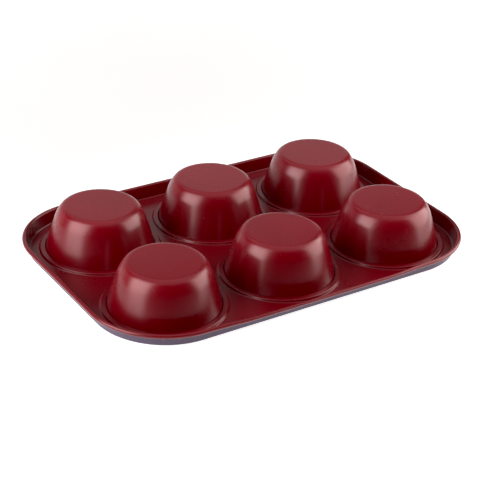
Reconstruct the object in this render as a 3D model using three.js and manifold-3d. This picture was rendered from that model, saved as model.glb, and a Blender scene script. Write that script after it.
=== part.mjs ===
// Six-cup muffin pan, lying upside down: its baking face is at z = 0 and the cups stand up.
// Drawn cups sit by their flanges in stepped seats of a stamped deck, and the deck's wall ends in a
// lip that is rolled round a stiffening wire. Millimetres, +Z up, origin under the middle of the deck.

import * as THREE from 'three';
import { mergeVertices } from 'three/addons/utils/BufferGeometryUtils.js';
import Module from 'manifold-3d';

const degrees = Math.PI / 180;

// Layout
const cupPitch = 83; // between the centres of neighbouring cups, both ways
const rowNames = ['front', 'back'];
const columnNames = ['left', 'middle', 'right'];

// Cups
const cupSheet = 0.6; // thickness of the drawn cup
const cupFootRadius = 34.85; // outside of the wall where it leaves the seat
const cupHeight = 30.3; // outside of the base above the baking face
const cupDraft = 16.4 * degrees; // lean of the straight part of the wall
const cupCrown = 25; // outside radius of the bow above the straight part
const crownLean = 36 * degrees; // lean of the wall where the bow ends
const cupShoulder = 5; // outside radius between the bow and the base
const flangeWidth = 2.65; // from the foot of the wall to the flange's outer edge
const footFillet = 1; // outside radius between flange and wall

// Deck and the seats for the cups
const deckSheet = 0.6; // thickness of the stamped deck
const seatRise = 1.5; // of the seats above the deck
const seatGap = 0.3; // bond line between a flange and its seat
const flangeGap = 0.3; // round the edge of a flange
const holeGap = 0.3; // between the edge of the seat's hole and the cup
const seatStepRun = 1.5; // width of the sloping step round a seat

// Rim
const edgeMargin = 5.6; // from the outer seats to the crease at the foot of the wall
const rimHeight = 9.4; // top of the lip above the baking face
const rimLean = 14 * degrees; // outward lean of the wall
const rimBend = 1; // inside radius at the foot of the wall
const wireRadius = 0.65;
const wireGap = 0.15; // between the wire and the lip rolled round it
const curlGap = 0.4; // between the lip's cut edge and the wall
const rimLap = 2; // flat strip of the deck that is pressed together with the rim

// Facets
const cupSegments = 32;
const shoulderSteps = 3;
const crownSteps = 2;
const filletSteps = 2;
const stepSteps = 3;
const cornerSteps = 9;
const bendSteps = 2;
const curlSteps = 8;
const wireSides = 8;

// Heights and radii that follow from the sizes above
const seatTop = deckSheet + seatRise;
const flangeTop = seatRise - seatGap;
const flangeUnderside = flangeTop - cupSheet;
const stepShift = deckSheet * Math.tan(Math.atan2(seatRise, seatStepRun) / 2);
const flangeRadius = cupFootRadius + flangeWidth;
const recessRadius = flangeRadius + flangeGap;
const plateauRadius = recessRadius + stepShift;
const plateauFoot = plateauRadius + seatStepRun;
const deckMargin = plateauFoot + edgeMargin;
const curlRadius = wireRadius + wireGap;
const beadRadius = curlRadius + deckSheet;

const halfLength = (columnNames.length - 1) * cupPitch / 2;
const halfWidth = (rowNames.length - 1) * cupPitch / 2;

const wasm = await Module();
wasm.setup();

// Points along a circular arc in a profile, counterclockwise where the angle grows.
function arc(r, z, radius, from, to, steps) {
  return new THREE.EllipseCurve(r, z, radius, radius, from, to, from > to).getPoints(steps);
}

const point = (r, z) => new THREE.Vector2(r, z);

// Revolves a counterclockwise profile of radius and height about Z.
function revolve(profile) {
  const upright = new THREE.Matrix4().set(1, 0, 0, 0, 0, 0, -1, 0, 0, 1, 0, 0, 0, 0, 0, 1);
  return new THREE.LatheGeometry(profile, cupSegments).applyMatrix4(upright);
}

// Carries a profile round the pan: the stations of a revolved ring are moved out to the four corners,
// which have the corner cups' centres, so that two stations at each quarter turn span a straight side.
function carryRound(profile) {
  const perCorner = cornerSteps + 1;
  const stations = 4 * perCorner;
  const ring = new THREE.LatheGeometry(profile, stations);
  const position = ring.attributes.position;
  const cornerSigns = [[1, 1], [-1, 1], [-1, -1], [1, -1]];
  for (let i = 0; i < position.count; i += 1) {
    const station = Math.floor(i / profile.length) % stations;
    const corner = Math.floor(station / perCorner);
    const angle = (corner + (station % perCorner) / cornerSteps) * 90 * degrees;
    const [signX, signY] = cornerSigns[corner];
    const { x: out, y: height } = profile[i % profile.length];
    const x = signX * halfLength + out * Math.cos(angle);
    const y = signY * halfWidth + out * Math.sin(angle);
    position.setXYZ(i, x, y, height);
  }
  return ring;
}

// A closed mesh as a solid that can be joined and cut.
function toSolid(geometry) {
  const bare = geometry.clone();
  bare.deleteAttribute('normal');
  bare.deleteAttribute('uv');
  const merged = mergeVertices(bare, 1e-4);
  const corners = merged.index.array;
  const triangles = [];
  for (let i = 0; i < corners.length; i += 3) {
    const [a, b, c] = corners.slice(i, i + 3);
    if (a !== b && b !== c && c !== a) triangles.push(a, b, c);
  }
  const vertProperties = new Float32Array(merged.attributes.position.array);
  const triVerts = new Uint32Array(triangles);
  return new wasm.Manifold(new wasm.Mesh({ numProp: 3, vertProperties, triVerts }));
}

function toGeometry(solid) {
  const { vertProperties, triVerts } = solid.getMesh();
  const geometry = new THREE.BufferGeometry();
  geometry.setAttribute('position', new THREE.BufferAttribute(vertProperties, 3));
  geometry.setIndex(new THREE.BufferAttribute(triVerts, 1));
  geometry.computeVertexNormals();
  return geometry;
}

// Outside of a cup: the wall leans in along a line, and a fillet carries its foot out into the flange.
const wallRadiusAt = (z) => cupFootRadius - (z - seatTop) * Math.tan(cupDraft);
const footHeight = flangeTop + footFillet;
const footTangent = footHeight - footFillet * Math.sin(cupDraft);
const footReach = wallRadiusAt(footTangent) + footFillet * Math.cos(cupDraft);

function cupRadiusAt(z) {
  if (z > footTangent) return wallRadiusAt(z);
  return footReach - Math.sqrt(footFillet ** 2 - (footHeight - z) ** 2);
}

// From the rim of the base down to the straight wall, at a depth below the outside of the sheet: a
// tight shoulder runs on into a wide bow, and the bow into the wall.
function crownPoints(depth) {
  const bowToShoulder = cupCrown - cupShoulder;
  const shoulderHeight = cupHeight - cupShoulder;
  const bowHeight = shoulderHeight - bowToShoulder * Math.sin(crownLean);
  const bowTangent = bowHeight + cupCrown * Math.sin(cupDraft);
  const bowReach = wallRadiusAt(bowTangent) - cupCrown * Math.cos(cupDraft);
  const baseRadius = bowReach + bowToShoulder * Math.cos(crownLean);
  const top = 90 * degrees;
  const shoulder = arc(baseRadius, shoulderHeight, cupShoulder - depth, top, crownLean, shoulderSteps);
  const bow = arc(bowReach, bowHeight, cupCrown - depth, crownLean, cupDraft, crownSteps);
  return [...shoulder, ...bow.slice(1)];
}

function cupGeometry() {
  const wallSide = 180 * degrees + cupDraft;
  const flangeSide = 270 * degrees;
  return revolve([
    point(0, cupHeight - cupSheet),
    ...crownPoints(cupSheet),
    ...arc(footReach, footHeight, footFillet + cupSheet, wallSide, flangeSide, filletSteps),
    point(flangeRadius, flangeUnderside),
    point(flangeRadius, flangeTop),
    ...arc(footReach, footHeight, footFillet, flangeSide, wallSide, filletSteps),
    ...crownPoints(0).reverse(),
    point(0, cupHeight),
  ]);
}

// A pressed step, level at both ends.
function pressedStep(fromRadius, fromHeight, toRadius, toHeight) {
  const points = [];
  for (let i = 0; i <= stepSteps; i += 1) {
    const t = i / stepSteps;
    const r = THREE.MathUtils.lerp(fromRadius, toRadius, t);
    const z = THREE.MathUtils.lerp(fromHeight, toHeight, THREE.MathUtils.smoothstep(t, 0, 1));
    points.push(point(r, z));
  }
  return points;
}

// What the press raises round a cup, and what it leaves hollow below with the hole for the cup.
function seatSolids() {
  const inSheet = deckSheet / 2;
  const beyond = deckSheet;
  const recessFoot = recessRadius + seatStepRun;
  const holeRadius = cupRadiusAt(seatRise) + holeGap;
  const raised = revolve([
    point(0, inSheet),
    point(plateauFoot, inSheet),
    ...pressedStep(plateauFoot, deckSheet, plateauRadius, seatTop),
    point(0, seatTop),
  ]);
  const hollow = revolve([
    point(0, -beyond),
    point(recessFoot, -beyond),
    ...pressedStep(recessFoot, 0, recessRadius, seatRise),
    point(holeRadius, seatRise),
    point(holeRadius, seatTop + beyond),
    point(0, seatTop + beyond),
  ]);
  return { raised: toSolid(raised), hollow: toSolid(hollow) };
}

// The rim's section: the bend, the leaning wall and the lip rolled outwards round the wire.
const bendHeight = deckSheet + rimBend;
const bendReach = deckMargin + rimBend * ((1 - Math.sin(rimLean)) * Math.tan(rimLean) - Math.cos(rimLean));
const beadHeight = rimHeight - beadRadius;
const wallTop = beadHeight + beadRadius * Math.sin(rimLean);
const beadReach = deckMargin + (wallTop - deckSheet) * Math.tan(rimLean) + beadRadius * Math.cos(rimLean);

function rimGeometry() {
  const bendStart = 270 * degrees;
  const bendEnd = 360 * degrees - rimLean;
  const curlStart = 180 * degrees - rimLean;
  const curlEnd = curlStart - 360 * degrees + Math.acos((curlRadius - curlGap) / beadRadius);
  const section = [
    point(bendReach - rimLap, 0),
    ...arc(bendReach, bendHeight, rimBend + deckSheet, bendStart, bendEnd, bendSteps),
    ...arc(beadReach, beadHeight, curlRadius, curlStart, curlEnd, curlSteps),
    ...arc(beadReach, beadHeight, beadRadius, curlEnd, curlStart, curlSteps),
    ...arc(bendReach, bendHeight, rimBend, bendEnd, bendStart, bendSteps),
    point(bendReach - rimLap, deckSheet),
  ];
  return carryRound([...section, section[0]]);
}

function plateGeometry() {
  const edge = bendReach - rimLap / 2;
  const outline = new THREE.Shape();
  outline.absarc(halfLength, halfWidth, edge, 0, 90 * degrees);
  outline.absarc(-halfLength, halfWidth, edge, 90 * degrees, 180 * degrees);
  outline.absarc(-halfLength, -halfWidth, edge, 180 * degrees, 270 * degrees);
  outline.absarc(halfLength, -halfWidth, edge, 270 * degrees, 360 * degrees);
  outline.closePath();
  const curveSegments = Math.ceil(cornerSteps / 2);
  return new THREE.ExtrudeGeometry(outline, { depth: deckSheet, bevelEnabled: false, curveSegments });
}

function wireGeometry() {
  return carryRound(arc(beadReach, beadHeight, wireRadius, 0, 360 * degrees, wireSides));
}

// The places of the cups, each with the name of its node.
const cupPlaces = rowNames.flatMap((row, j) => columnNames.map((column, i) => ({
  name: `cup_${row}_${column}`,
  x: i * cupPitch - halfLength,
  y: j * cupPitch - halfWidth,
})));

function deckGeometry() {
  const { raised, hollow } = seatSolids();
  let deck = toSolid(plateGeometry()).add(toSolid(rimGeometry()));
  for (const { x, y } of cupPlaces) deck = deck.add(raised.translate([x, y, 0]));
  for (const { x, y } of cupPlaces) deck = deck.subtract(hollow.translate([x, y, 0]));
  return toGeometry(deck);
}

const redCoat = () => new THREE.MeshStandardMaterial({ color: 0x6b0b13, roughness: 0.38, metalness: 0.1 });
const plainSteel = () => new THREE.MeshStandardMaterial({ color: 0x9a9a9c, roughness: 0.4, metalness: 1 });

function named(name, geometry, material) {
  const mesh = new THREE.Mesh(geometry, material);
  mesh.name = name;
  return mesh;
}

const pan = new THREE.Group();
pan.add(named('pan_deck', deckGeometry(), redCoat()));
pan.add(named('rim_wire', wireGeometry(), plainSteel()));

const cupShape = cupGeometry();
for (const { name, x, y } of cupPlaces) {
  const cup = named(name, cupShape, redCoat());
  cup.position.set(x, y, 0);
  pan.add(cup);
}

export default pan;
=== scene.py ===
import math
import bmesh
import bpy
from mathutils import Matrix, Vector


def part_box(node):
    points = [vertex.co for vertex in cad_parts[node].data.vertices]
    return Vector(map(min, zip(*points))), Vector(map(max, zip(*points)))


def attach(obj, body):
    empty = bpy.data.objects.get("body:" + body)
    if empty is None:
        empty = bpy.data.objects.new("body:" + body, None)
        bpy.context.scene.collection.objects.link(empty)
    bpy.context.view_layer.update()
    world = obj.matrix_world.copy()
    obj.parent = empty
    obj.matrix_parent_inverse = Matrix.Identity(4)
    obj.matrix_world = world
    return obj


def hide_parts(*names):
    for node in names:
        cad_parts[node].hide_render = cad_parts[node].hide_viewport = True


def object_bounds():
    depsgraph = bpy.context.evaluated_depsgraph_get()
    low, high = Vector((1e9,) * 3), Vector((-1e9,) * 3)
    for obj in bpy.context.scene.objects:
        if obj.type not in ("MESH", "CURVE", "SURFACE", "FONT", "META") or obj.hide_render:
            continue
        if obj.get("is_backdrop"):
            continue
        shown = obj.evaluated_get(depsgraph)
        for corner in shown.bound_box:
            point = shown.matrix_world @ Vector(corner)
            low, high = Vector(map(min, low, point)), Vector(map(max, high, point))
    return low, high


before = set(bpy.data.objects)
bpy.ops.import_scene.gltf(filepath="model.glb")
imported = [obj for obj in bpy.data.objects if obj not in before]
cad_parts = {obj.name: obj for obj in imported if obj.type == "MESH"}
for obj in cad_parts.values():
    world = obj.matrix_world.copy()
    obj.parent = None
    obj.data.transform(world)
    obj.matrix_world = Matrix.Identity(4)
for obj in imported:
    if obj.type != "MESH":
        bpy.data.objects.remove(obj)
cadLow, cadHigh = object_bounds()  # box of the solids
print("frame loaded:", ", ".join(sorted(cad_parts)))

mm = 0.001  # sizes of the pan are millimetres, meshes are metres
sheet = 0.6  # thickness of the pressed steel
seatTop = 2.1  # height of the seats' faces, where the cups' foot radius is taken
cupTurns = 144  # facets round a cup
cornerTurns = 36  # facets round a corner of the pan
redSide, greySide = 0, 1  # places of the two coats on a pressed sheet

cupCentres = {}
for nodeName in sorted(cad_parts):
    if nodeName.startswith("cup_"):
        low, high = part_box(nodeName)
        cupCentres[nodeName] = ((low + high) / 2).to_2d()
halfLength = max(c.x for c in cupCentres.values())
halfWidth = max(c.y for c in cupCentres.values())


# finishes

noiseSpan = (0.3, 0.7)  # where most of a noise's values lie


def newFinish(name):
    material = bpy.data.materials.new(name)
    material.use_nodes = True
    tree = material.node_tree
    shader = tree.nodes["Principled BSDF"]
    place = tree.nodes.new("ShaderNodeTexCoord").outputs["Object"]
    return material, tree, shader, place


def grainOf(tree, place, scale, detail=2.0, roughness=0.5):
    grain = tree.nodes.new("ShaderNodeTexNoise")
    grain.inputs["Scale"].default_value = scale
    grain.inputs["Detail"].default_value = detail
    grain.inputs["Roughness"].default_value = roughness
    tree.links.new(place, grain.inputs["Vector"])
    return grain.outputs["Fac"]


def rampOf(tree, value, low, high, span=noiseSpan):  # from one colour to another
    ramp = tree.nodes.new("ShaderNodeValToRGB")
    for stop, at, colour in zip(ramp.color_ramp.elements, span, (low, high)):
        stop.position = at
        stop.color = (*colour, 1)
    tree.links.new(value, ramp.inputs["Fac"])
    return ramp.outputs["Color"]


def stopsOf(tree, value, stops):  # a grey that eases from stop to stop
    ramp = tree.nodes.new("ShaderNodeValToRGB")
    ramp.color_ramp.interpolation = "EASE"
    for at, level in stops[1:-1]:
        ramp.color_ramp.elements.new(at)
    for stop, (at, level) in zip(ramp.color_ramp.elements, stops):
        stop.position = at
        stop.color = (level, level, level, 1)
    tree.links.new(value, ramp.inputs["Fac"])
    return ramp.outputs["Color"]


def spreadOf(tree, value, low, high, span=noiseSpan):  # from one number to another
    spread = tree.nodes.new("ShaderNodeMapRange")
    spread.inputs["From Min"].default_value = span[0]
    spread.inputs["From Max"].default_value = span[1]
    spread.inputs["To Min"].default_value = low
    spread.inputs["To Max"].default_value = high
    tree.links.new(value, spread.inputs["Value"])
    return spread.outputs["Result"]


def bumpOf(tree, value, strength, depth):
    bump = tree.nodes.new("ShaderNodeBump")
    bump.inputs["Strength"].default_value = strength
    bump.inputs["Distance"].default_value = depth * mm
    tree.links.new(value, bump.inputs["Height"])
    return bump.outputs["Normal"]


def paintedShadeByHeight(tree, place, colour, heights, stops):  # painted shade: the colour darkens by height, the stops run between the two heights
    parts = tree.nodes.new("ShaderNodeSeparateXYZ")
    tree.links.new(place, parts.inputs["Vector"])
    height = spreadOf(tree, parts.outputs["Z"], 0, 1, (heights[0] * mm, heights[1] * mm))
    shaded = tree.nodes.new("ShaderNodeVectorMath")
    shaded.operation = "MULTIPLY"
    tree.links.new(colour, shaded.inputs[0])
    tree.links.new(stopsOf(tree, height, stops), shaded.inputs[1])
    return shaded.outputs["Vector"]


redCoatLook = dict(
    deep=(0.146, 0.0003, 0.0050), full=(0.167, 0.0004, 0.0064),  # the two reds that drift into each other
    drift=28.0, driftDetail=4.0,
    heights=(3.0, 30.0), paintedShade=((0.0, 0.76), (0.55, 0.83), (1.0, 1.0)),  # painted shade, darker towards the deck
    satin=(0.25, 0.28), satinDrift=70.0, satinDetail=3.0,
    peel=900.0, peelStrength=0.03, peelDepth=0.012,  # faint orange peel of the sprayed coat
    ior=1.56, tint=(1.0, 0.69, 0.70),
)


def redCoat():
    look = redCoatLook
    material, tree, shader, place = newFinish("satin_red_coat")
    drift = grainOf(tree, place, look["drift"], look["driftDetail"])
    red = rampOf(tree, drift, look["deep"], look["full"])
    # painted shade: the red darkens towards the deck
    red = paintedShadeByHeight(tree, place, red, look["heights"], look["paintedShade"])
    tree.links.new(red, shader.inputs["Base Color"])
    haze = grainOf(tree, place, look["satinDrift"], look["satinDetail"])
    tree.links.new(spreadOf(tree, haze, *look["satin"]), shader.inputs["Roughness"])
    peel = grainOf(tree, place, look["peel"])
    peel = bumpOf(tree, peel, look["peelStrength"], look["peelDepth"])
    tree.links.new(peel, shader.inputs["Normal"])
    shader.inputs["IOR"].default_value = look["ior"]
    shader.inputs["Specular Tint"].default_value = (*look["tint"], 1)
    return material


greyCoatLook = dict(
    dark=(0.070, 0.047, 0.079), light=(0.098, 0.067, 0.108),
    fleck=1400.0, fleckDetail=3.0, fleckRoughness=0.7, fleckSpan=(0.4, 0.75),
    satin=(0.42, 0.52), satinDrift=90.0, satinDetail=3.0,
    grain=1100.0, grainStrength=0.15, grainDepth=0.02,
    ior=1.35,
)


def greyCoat():
    look = greyCoatLook
    material, tree, shader, place = newFinish("blue_grey_nonstick_coat")
    fleck = grainOf(tree, place, look["fleck"], look["fleckDetail"], look["fleckRoughness"])
    grey = rampOf(tree, fleck, look["dark"], look["light"], look["fleckSpan"])
    tree.links.new(grey, shader.inputs["Base Color"])
    haze = grainOf(tree, place, look["satinDrift"], look["satinDetail"])
    tree.links.new(spreadOf(tree, haze, *look["satin"]), shader.inputs["Roughness"])
    grain = grainOf(tree, place, look["grain"])
    grain = bumpOf(tree, grain, look["grainStrength"], look["grainDepth"])
    tree.links.new(grain, shader.inputs["Normal"])
    shader.inputs["IOR"].default_value = look["ior"]
    return material


wireLook = dict(
    dark=(0.42, 0.42, 0.43), light=(0.60, 0.60, 0.61), polish=(0.28, 0.42),
    draw=300.0, drawDetail=6.0, drawRoughness=0.7,  # marks of the drawing die
)


def wireSteel():
    look = wireLook
    material, tree, shader, place = newFinish("drawn_steel")
    scratch = grainOf(tree, place, look["draw"], look["drawDetail"], look["drawRoughness"])
    tree.links.new(rampOf(tree, scratch, look["dark"], look["light"]), shader.inputs["Base Color"])
    tree.links.new(spreadOf(tree, scratch, *look["polish"]), shader.inputs["Roughness"])
    shader.inputs["Metallic"].default_value = 1.0
    return material


redFinish, greyFinish, wireFinish = redCoat(), greyCoat(), wireSteel()
print("finishes made")


# pressed sheet: profiles of radius and height, carried round a cup or round the pan

edgeBulge = 0.35  # how far a cut edge rounds out, as a share of the sheet


def arc(r, z, radius, start, end, steps):
    points = []
    for i in range(steps + 1):
        angle = math.radians(start + (end - start) * i / steps)
        points.append((r + radius * math.cos(angle), z + radius * math.sin(angle)))
    return points


def pressedStep(footR, footZ, topR, topZ, bend, steps):  # two equal bends with a straight slope between
    run, rise = footR - topR, topZ - footZ
    slope = math.asin(2 * bend / math.hypot(run, 2 * bend - rise)) - math.atan2(2 * bend - rise, run)
    turn = math.degrees(slope)
    return [
        *arc(footR, footZ + bend, bend, 270, 270 - turn, steps),
        *arc(topR, topZ - bend, bend, 90 - turn, 90, steps),
    ]


def farFace(profile, thickness):  # the other face of the sheet, square to the first
    moved = []
    for i, (r, z) in enumerate(profile):
        before, after = profile[max(i - 1, 0)], profile[min(i + 1, len(profile) - 1)]
        along = Vector((after[0] - before[0], after[1] - before[1])).normalized()
        moved.append((r + along.y * thickness, z - along.x * thickness))
    return moved


def foldedSheet(profile, thickness):  # both faces and a rounded cut edge between their ends
    far = farFace(profile, thickness)
    (r0, z0), (r1, z1), (rBack, zBack) = profile[-1], far[-1], profile[-2]
    out = Vector((r0 - rBack, z0 - zBack)).normalized() * abs(thickness) * edgeBulge
    edge = ((r0 + r1) / 2 + out.x, (z0 + z1) / 2 + out.y)
    loops = [*profile, edge, *reversed(far)]
    coats = [redSide] * (len(profile) - 1) + [greySide] * (len(far) + 1)
    return loops, coats


def roundCup(centre):
    turn = 2 * math.pi / cupTurns

    def ring(r, z):
        if r == 0:  # the middle of a base is one point
            return [Vector((centre.x, centre.y, z * mm))]
        return [Vector((centre.x + r * mm * math.cos(i * turn),
                        centre.y + r * mm * math.sin(i * turn), z * mm))
                for i in range(cupTurns)]
    return ring


def skin(bm, rings, coats):
    rows = [[bm.verts.new(p) for p in ring] for ring in rings]
    for coat, near, far in zip(coats, rows, rows[1:]):
        count = max(len(near), len(far))
        for i in range(count):
            j = (i + 1) % count
            corners = (near[i % len(near)], near[j % len(near)], far[j % len(far)], far[i % len(far)])
            face = bm.faces.new(tuple(dict.fromkeys(corners)))
            face.material_index = coat
    return rows


def fillField(bm, loops, coat):  # the flat sheet between a rim loop and the seats' loops
    edges = [bm.edges.get((a, b)) for loop in loops for a, b in zip(loop, loop[1:] + loop[:1])]
    made = bmesh.ops.triangle_fill(bm, edges=edges, use_beauty=True, normal=(0, 0, 1))
    for face in made["geom"]:
        if isinstance(face, bmesh.types.BMFace):
            face.material_index = coat


def placedMesh(bm, name, finishes):
    mesh = bpy.data.meshes.new(name)
    bm.to_mesh(mesh)
    bm.free()
    for finish in finishes:
        mesh.materials.append(finish)
    piece = bpy.data.objects.new(name, mesh)
    bpy.context.scene.collection.objects.link(piece)
    return piece


def finishedPiece(bm, name, node, finishes):
    bmesh.ops.recalc_face_normals(bm, faces=bm.faces)
    piece = placedMesh(bm, name, finishes)
    piece.data.shade_smooth()
    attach(piece, "root")
    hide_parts(node)
    return piece


# cups

cupShape = dict(
    height=30.3, footRadius=34.85, footFillet=1.0,
    draft=16.4, belly=2.5,  # degrees, the wall leans in by the belly less at its foot and more at its top
    crown=25.0, crownLean=36.0, shoulder=5.0,  # radii of the bow above the wall and the turn to the base
    flat=1.0,  # level strip inside the shoulder
    flangeRadius=37.5, flangeTop=1.2,
    flangeLead=0.3, flangeEnd=0.1,  # its last two points, measured back from its radius
    shoulderSteps=12, crownSteps=12, bellySteps=12, filletSteps=8,
)


def cupProfile():  # from the middle of the base down the wall to the flange's edge
    s = cupShape
    footLean, wallLean = s["draft"] - s["belly"], s["draft"] + s["belly"]
    low, high, crownLean = (math.radians(a) for a in (footLean, wallLean, s["crownLean"]))
    shoulderZ = s["height"] - s["shoulder"]
    crownZ = shoulderZ - (s["crown"] - s["shoulder"]) * math.sin(crownLean)
    footZ = s["flangeTop"] + s["footFillet"]
    wallTop, wallFoot = crownZ + s["crown"] * math.sin(high), footZ - s["footFillet"] * math.sin(low)
    belly = (wallTop - wallFoot) / (math.sin(high) - math.sin(low))  # radius that runs from foot to crown
    wallR = s["footRadius"] + (seatTop - wallFoot) * math.tan(low)
    bellyR, bellyZ = wallR - belly * math.cos(low), wallFoot - belly * math.sin(low)
    crownR = bellyR + (belly - s["crown"]) * math.cos(high)
    flatR = crownR + (s["crown"] - s["shoulder"]) * math.cos(crownLean)
    footR = wallR + s["footFillet"] * math.cos(low)
    return [
        (0, s["height"]),
        (flatR - s["flat"], s["height"]),
        *arc(flatR, shoulderZ, s["shoulder"], 90, s["crownLean"], s["shoulderSteps"]),
        *arc(crownR, crownZ, s["crown"], s["crownLean"], wallLean, s["crownSteps"])[1:],
        *arc(bellyR, bellyZ, belly, wallLean, footLean, s["bellySteps"])[1:],
        *arc(footR, footZ, s["footFillet"], 180 + footLean, 270, s["filletSteps"])[1:],
        (s["flangeRadius"] - s["flangeLead"], s["flangeTop"]),
        (s["flangeRadius"] - s["flangeEnd"], s["flangeTop"]),
    ]


def makeCup(node):
    bm = bmesh.new()
    loops, coats = foldedSheet(cupProfile(), sheet)
    ring = roundCup(cupCentres[node])
    skin(bm, [ring(r, z) for r, z in loops], coats)
    return finishedPiece(bm, node + "_drawn", node, [redFinish, greyFinish])


cups = [makeCup(node) for node in cupCentres]
print("cups drawn:", len(cups))


# deck with its seats and rim

deckShape = dict(
    holeRadius=35.5, plateauRadius=38.05, stepRun=1.5, stepBend=0.68, apron=0.3,
    margin=45.15, wallLean=14.0, bend=1.0, flat=0.6,  # margin from the corner cups' centres to the wall
    rimHeight=9.4, beadRadius=1.4, curlEnd=80.0,  # degrees that the bead leaves open
    seatSteps=5, bendSteps=10, beadSteps=28,
)


def seatProfile():  # from the field up the step to the hole
    s = deckShape
    foot = s["plateauRadius"] + s["stepRun"]
    return [
        (foot + 2 * s["apron"], sheet),
        (foot + s["apron"], sheet),
        *pressedStep(foot, sheet, s["plateauRadius"], seatTop, s["stepBend"], s["seatSteps"]),
        (s["plateauRadius"] - s["apron"], seatTop),
        (s["holeRadius"] + s["apron"], seatTop),
        (s["holeRadius"], seatTop),
    ]


def rimCentres():  # bend and bead of the rim's section
    s = deckShape
    lean = math.radians(s["wallLean"])
    bendR = s["margin"] + s["bend"] * ((1 - math.sin(lean)) * math.tan(lean) - math.cos(lean))
    beadZ = s["rimHeight"] - s["beadRadius"]
    wallTop = beadZ + s["beadRadius"] * math.sin(lean)
    beadR = s["margin"] + (wallTop - sheet) * math.tan(lean) + s["beadRadius"] * math.cos(lean)
    return (bendR, sheet + s["bend"]), (beadR, beadZ)


def rimProfile():  # from the field up the wall and round the bead
    s = deckShape
    (bendR, bendZ), (beadR, beadZ) = rimCentres()
    lean = s["wallLean"]
    return [
        (bendR - 2 * s["flat"], sheet),
        (bendR - s["flat"], sheet),
        *arc(bendR, bendZ, s["bend"], 270, 360 - lean, s["bendSteps"]),
        *arc(beadR, beadZ, s["beadRadius"], 180 - lean, 180 - lean - 360 + s["curlEnd"], s["beadSteps"]),
    ]


frontSpring = dict(  # the long front wall gives a little between its corners
    reach=1.45, drop=0.4, run=35.0, turns=24,  # full give starts at the run from a corner
)


def sprungOut(along, out, z):  # along is the distance from the nearest corner
    f = frontSpring
    foot, top = (centreZ for _, centreZ in rimCentres())
    ease = min(along / (f["run"] * mm), 1)
    give = ease * ease * (3 - 2 * ease) * max(z - foot, 0) / (top - foot)
    return out + f["reach"] * give, z - f["drop"] * give


def roundPan(out, z):  # the corners have the corner cups' centres
    points = []
    for corner, (signX, signY) in enumerate(((1, 1), (-1, 1), (-1, -1), (1, -1))):
        for i in range(cornerTurns + 1):
            angle = math.radians(90) * (corner + i / cornerTurns)
            points.append(Vector((signX * halfLength + out * mm * math.cos(angle),
                                  signY * halfWidth + out * mm * math.sin(angle), z * mm)))
        if (signX, signY) == (-1, -1):  # along the front to the last corner
            for i in range(1, frontSpring["turns"]):
                x = halfLength * (2 * i / frontSpring["turns"] - 1)
                sprung, sunk = sprungOut(halfLength - abs(x), out, z)
                points.append(Vector((x, -halfWidth - sprung * mm, sunk * mm)))
    return points


def makeDeck():
    bm = bmesh.new()
    loops, coats = foldedSheet(rimProfile(), sheet)
    rows = skin(bm, [roundPan(r, z) for r, z in loops], coats)
    upper, lower = [rows[0]], [rows[-1]]
    loops, coats = foldedSheet(seatProfile(), -sheet)  # runs inwards, so its far face is on the other hand
    for centre in cupCentres.values():
        ring = roundCup(centre)
        rows = skin(bm, [ring(r, z) for r, z in loops], coats)
        upper.append(rows[0])
        lower.append(rows[-1])
    fillField(bm, upper, redSide)
    fillField(bm, lower, greySide)
    return finishedPiece(bm, "deck_pressed", "pan_deck", [redFinish, greyFinish])


deck = makeDeck()
print("deck pressed:", len(deck.data.polygons), "faces")


# wire in the bead

wireShape = dict(radius=0.65, sides=20, seam=1e-7)  # points closer than the seam, in metres, are joined


def makeWire():
    bm = bmesh.new()
    wireR, wireZ = rimCentres()[1]
    section = arc(wireR, wireZ, wireShape["radius"], 0, 360, wireShape["sides"])
    skin(bm, [roundPan(r, z) for r, z in section], [0] * wireShape["sides"])
    bmesh.ops.remove_doubles(bm, verts=bm.verts, dist=wireShape["seam"])
    return finishedPiece(bm, "rim_wire_drawn", "rim_wire", [wireFinish])


wire = makeWire()
print("wire bent:", len(wire.data.polygons), "faces")


# studio, in metres

floorLook = dict(
    size=8.0, squares=4, pale=(0.72, 0.72, 0.72), paler=(0.75, 0.75, 0.75), drift=3.0, matte=0.9,
    reach=4.0,  # from the pan to the glow's last stop
    # painted light: the glow peaks at the pan's outline, filling the pan's shadow on the floor
    glow=((0.0, 0.80), (0.004, 0.44), (0.019, 0.06), (0.125, 0.25), (0.5, 0.9), (1.0, 1.0)),
    drop=0.05,  # millimetres between the floor and the pan's face
)


def fromPan(tree, place):  # distance from the pan's rounded outline, 1 at the floor's reach
    steps = (
        ("ABSOLUTE", None),
        ("SUBTRACT", (halfLength, halfWidth, 0)),
        ("MAXIMUM", (0, 0, 0)),
        ("LENGTH", None),
    )
    for operation, second in steps:
        step = tree.nodes.new("ShaderNodeVectorMath")
        step.operation = operation
        tree.links.new(place, step.inputs[0])
        if second is not None:
            step.inputs[1].default_value = second
        place = step.outputs["Value" if operation == "LENGTH" else "Vector"]
    outline = cadHigh.x - halfLength
    return spreadOf(tree, place, 0, 1, (outline, outline + floorLook["reach"]))


def floorFinish():  # painted light: glows most right round the pan and fills the pan's shadow, so the floor stays white round it
    look = floorLook
    material, tree, shader, place = newFinish("pale_floor_matte")
    drift = grainOf(tree, place, look["drift"])
    tree.links.new(rampOf(tree, drift, look["pale"], look["paler"]), shader.inputs["Base Color"])
    shader.inputs["Roughness"].default_value = look["matte"]
    glow = stopsOf(tree, fromPan(tree, place), look["glow"])
    tree.links.new(glow, shader.inputs["Emission Strength"])
    shader.inputs["Emission Color"].default_value = (1, 1, 1, 1)
    return material


def makeFloor():
    look = floorLook
    bm = bmesh.new()
    bmesh.ops.create_grid(bm, x_segments=look["squares"], y_segments=look["squares"], size=look["size"] / 2)
    floor = placedMesh(bm, "pale_floor", [floorFinish()])
    floor.location.z = -look["drop"] * mm
    floor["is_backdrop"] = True


surroundLook = dict(radius=9.0, fineness=4, pale=(0.94, 0.94, 0.94))


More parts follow.
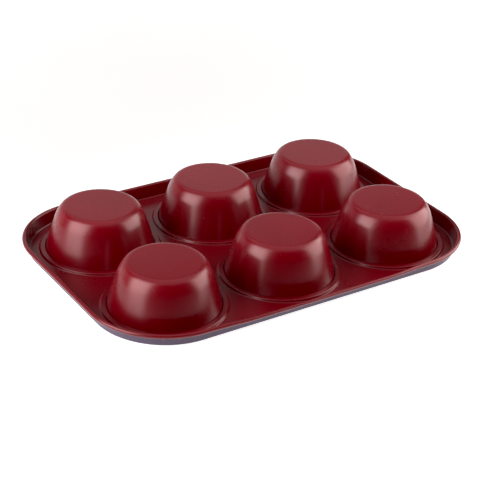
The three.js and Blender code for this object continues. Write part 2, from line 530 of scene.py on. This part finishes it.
def surroundFinish():
    material, _, shader, _ = newFinish("pale_surround_matte")
    shader.inputs["Base Color"].default_value = (0, 0, 0, 1)
    shader.inputs["Emission Color"].default_value = (*surroundLook["pale"], 1)
    shader.inputs["Emission Strength"].default_value = 1.0
    return material


def makeSurround():  # pale ground for low views, it lights nothing
    bm = bmesh.new()
    bmesh.ops.create_icosphere(bm, subdivisions=surroundLook["fineness"], radius=surroundLook["radius"])
    surround = placedMesh(bm, "pale_surround", [surroundFinish()])
    surround.visible_diffuse = False
    surround.visible_glossy = False
    surround.visible_transmission = False
    surround.visible_shadow = False
    surround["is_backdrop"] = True


def compass(azimuth, elevation):  # azimuth 0 is the front of the pan, 90 its right
    a, e = math.radians(azimuth), math.radians(elevation)
    return Vector((math.sin(a) * math.cos(e), -math.cos(a) * math.cos(e), math.sin(e)))


viewpoint = dict(
    aim=(-15.035, -18.164, 15.5), distance=895.753, lens=106.33,  # millimetres
    azimuth=-33.504, elevation=28.437, roll=2.204,
    farthest=100,  # metres
)


def makeCamera():
    v = viewpoint
    back = compass(v["azimuth"], v["elevation"])
    right = Vector((-back.y, back.x, 0)).normalized()
    up = back.cross(right)
    roll = math.radians(v["roll"])
    tiltedRight = right * math.cos(roll) + up * math.sin(roll)
    tiltedUp = up * math.cos(roll) - right * math.sin(roll)
    data = bpy.data.cameras.new("viewpoint")
    data.lens = v["lens"]
    data.clip_end = v["farthest"]
    camera = bpy.data.objects.new("viewpoint", data)
    bpy.context.scene.collection.objects.link(camera)
    where = (Vector(v["aim"]) + back * v["distance"]) * mm
    turned = Matrix((tiltedRight, tiltedUp, back)).transposed().to_4x4()
    camera.matrix_world = Matrix.Translation(where) @ turned
    bpy.context.scene.camera = camera


studio = dict(  # glow is a box's radiance, levels its share at the lower edge, middle and upper edge
    leftBox=dict(azimuth=-92, elevation=27, distance=0.90, width=0.90, height=0.95,
                 glow=7.1, levels=(0.66, 1.0, 0.42), soft=0.22),
    rightBox=dict(azimuth=70, elevation=27, distance=0.70, width=0.86, height=0.76,
                  glow=5.2, levels=(0.75, 1.0, 0.30), soft=0.12, tint=(1, 0.92, 0.89)),
    overhead=dict(azimuth=146.5, elevation=89, distance=1.30, width=2.60, height=2.60,
                  glow=0.85, levels=(0.90, 1.0, 0.60), soft=0.20),
    backdrop=dict(azimuth=176, elevation=18, distance=0.74, width=1.90, height=0.45,
                  glow=0.72, levels=(1.0, 0.9, 0.8), soft=0.10),
)
roomGlow = 0.01
blackPoint = 0.0043  # as a print with deep shadows


def shadeAcross(data, levels, soft):  # fades the box over its height and at its two sides
    data.use_nodes = True
    tree = data.node_tree
    middle = 0.5  # a box runs from 0 to 1 both ways
    place = tree.nodes.new("ShaderNodeSeparateXYZ")
    onBox = tree.nodes.new("ShaderNodeNewGeometry").outputs["Parametric"]
    tree.links.new(onBox, place.inputs["Vector"])
    rise = stopsOf(tree, place.outputs["Y"], tuple(zip((0, middle, 1), levels)))
    fromSide = tree.nodes.new("ShaderNodeMath")
    fromSide.operation = "PINGPONG"
    fromSide.inputs[1].default_value = middle
    tree.links.new(place.outputs["X"], fromSide.inputs[0])
    fade = spreadOf(tree, fromSide.outputs["Value"], 0, 1, (0, soft))
    tree.links.new(rise, tree.nodes["Emission"].inputs["Color"])
    tree.links.new(fade, tree.nodes["Emission"].inputs["Strength"])


def makeSoftbox(name, azimuth, elevation, distance, width, height, glow, levels, soft, tint=(1, 1, 1)):
    data = bpy.data.lights.new(name, "AREA")
    data.shape = "RECTANGLE"
    data.size, data.size_y = width, height
    data.energy = math.pi * width * height * glow
    data.color = tint
    shadeAcross(data, levels, soft)
    lamp = bpy.data.objects.new(name, data)
    bpy.context.scene.collection.objects.link(lamp)
    direction = compass(azimuth, elevation)
    lamp.location = direction * distance
    lamp.rotation_mode = "QUATERNION"
    lamp.rotation_quaternion = direction.to_track_quat("Z", "Y")
    lamp.visible_camera = False


def makeRoom():  # dim and even, the boxes do the work
    world = bpy.data.worlds.new("studio")
    world.use_nodes = True
    glow = world.node_tree.nodes["Background"]
    glow.inputs["Color"].default_value = (1, 1, 1, 1)
    glow.inputs["Strength"].default_value = roomGlow
    bpy.context.scene.world = world


def makeStudio():
    makeFloor()
    makeSurround()
    for name, box in studio.items():
        makeSoftbox(name, **box)
    makeRoom()
    view = bpy.context.scene.view_settings
    view.view_transform = "Standard"
    view.use_curve_mapping = True
    view.curve_mapping.black_level = (blackPoint, blackPoint, blackPoint)
    view.curve_mapping.update()


makeStudio()
makeCamera()
print("studio set")

low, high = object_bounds()
